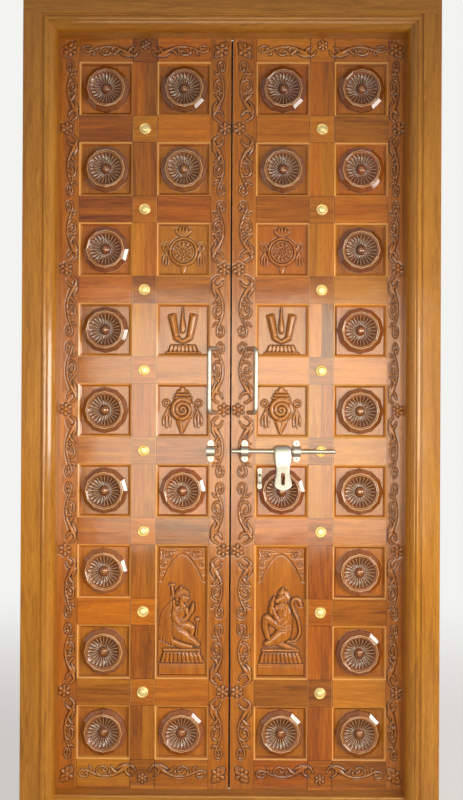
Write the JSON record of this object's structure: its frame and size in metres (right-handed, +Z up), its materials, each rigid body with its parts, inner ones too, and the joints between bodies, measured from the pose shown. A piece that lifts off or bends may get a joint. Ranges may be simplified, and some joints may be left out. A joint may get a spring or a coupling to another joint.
{
  "type": "carved temple door",
  "caption": "Double-leaf carved wooden temple door hung in a rebated frame, with rosette and emblem panels, brass studs, pull handles and a sliding bolt.",
  "frame": {"origin": "middle of the sill's underside", "axes": "+Z up; -Y is the carved front; +Y is the side the leaves swing to; +X is to the right seen from the front"},
  "size_m": [1.219, 0.1315, 2.438],
  "materials": {
    "teak_frame": "varnished",
    "teak_leaf": "varnished",
    "teak_panel": "varnished",
    "teak_rosette": "gloss varnish",
    "brass": "polished",
    "satin_steel": "satin",
    "hinge_steel": "plain"
  },
  "bodies": {
    "frame": {"frame_head": "teak_frame", "frame_jamb_left": "teak_frame", "frame_jamb_right": "teak_frame", "frame_sill": "teak_frame", "left_hinge_frame_plates": "hinge_steel", "left_hinge_pins": "hinge_steel", "right_hinge_frame_plates": "hinge_steel", "right_hinge_pins": "hinge_steel"},
    "left_leaf": {"bolt_keeper": "satin_steel", "left_bottom_rail": "teak_leaf", "left_conch_panel": "teak_panel", "left_cross_rail_1": "teak_leaf", "left_cross_rail_2": "teak_leaf", "left_cross_rail_3": "teak_leaf", "left_cross_rail_4": "teak_leaf", "left_cross_rail_5": "teak_leaf", "left_cross_rail_6": "teak_leaf", "left_cross_rail_7": "teak_leaf", "left_cross_rail_8": "teak_leaf", "left_figure_panel": "teak_panel", "left_hinge_leaf_plates": "hinge_steel", "left_hinge_stile": "teak_leaf", "left_meeting_stile": "teak_leaf", "left_muntins": "teak_leaf", "left_panels": "teak_panel", "left_pull_handle": "satin_steel", "left_rosettes": "teak_rosette", "left_studs": "brass", "left_tilak_panel": "teak_panel", "left_top_rail": "teak_leaf", "left_wheel_panel": "teak_panel"},
    "right_leaf": {"bolt_guides": "satin_steel", "bolt_staple": "satin_steel", "right_bottom_rail": "teak_leaf", "right_conch_panel": "teak_panel", "right_cross_rail_1": "teak_leaf", "right_cross_rail_2": "teak_leaf", "right_cross_rail_3": "teak_leaf", "right_cross_rail_4": "teak_leaf", "right_cross_rail_5": "teak_leaf", "right_cross_rail_6": "teak_leaf", "right_cross_rail_7": "teak_leaf", "right_cross_rail_8": "teak_leaf", "right_figure_panel": "teak_panel", "right_hinge_leaf_plates": "hinge_steel", "right_hinge_stile": "teak_leaf", "right_meeting_stile": "teak_leaf", "right_muntins": "teak_leaf", "right_panels": "teak_panel", "right_pull_handle": "satin_steel", "right_rosettes": "teak_rosette", "right_studs": "brass", "right_tilak_panel": "teak_panel", "right_top_rail": "teak_leaf", "right_wheel_panel": "teak_panel", "staple_packing": "teak_leaf"},
    "bolt_rod": {"bolt_rod": "satin_steel"},
    "bolt_hasp": {"bolt_hasp": "satin_steel"}
  },
  "joints": [
    {"name": "left_leaf_swing", "type": "hinge", "parent": "frame", "child": "left_leaf", "pos_m": [-0.529, 0.066, 1.219], "axis": [0, 0, 1], "range_deg": [0, 100]},
    {"name": "right_leaf_swing", "type": "hinge", "parent": "frame", "child": "right_leaf", "pos_m": [0.529, 0.066, 1.219], "axis": [0, 0, -1], "range_deg": [0, 100]},
    {"name": "bolt_slide", "type": "slide", "parent": "right_leaf", "child": "bolt_rod", "axis": [-1, 0, 0], "range_m": [0, 0.068]},
    {"name": "hasp_turn", "type": "hinge", "parent": "bolt_rod", "child": "bolt_hasp", "pos_m": [0.1555, -0.0026, 1.10725], "axis": [-1, 0, 0], "range_deg": [-15, 120]}
  ]
}
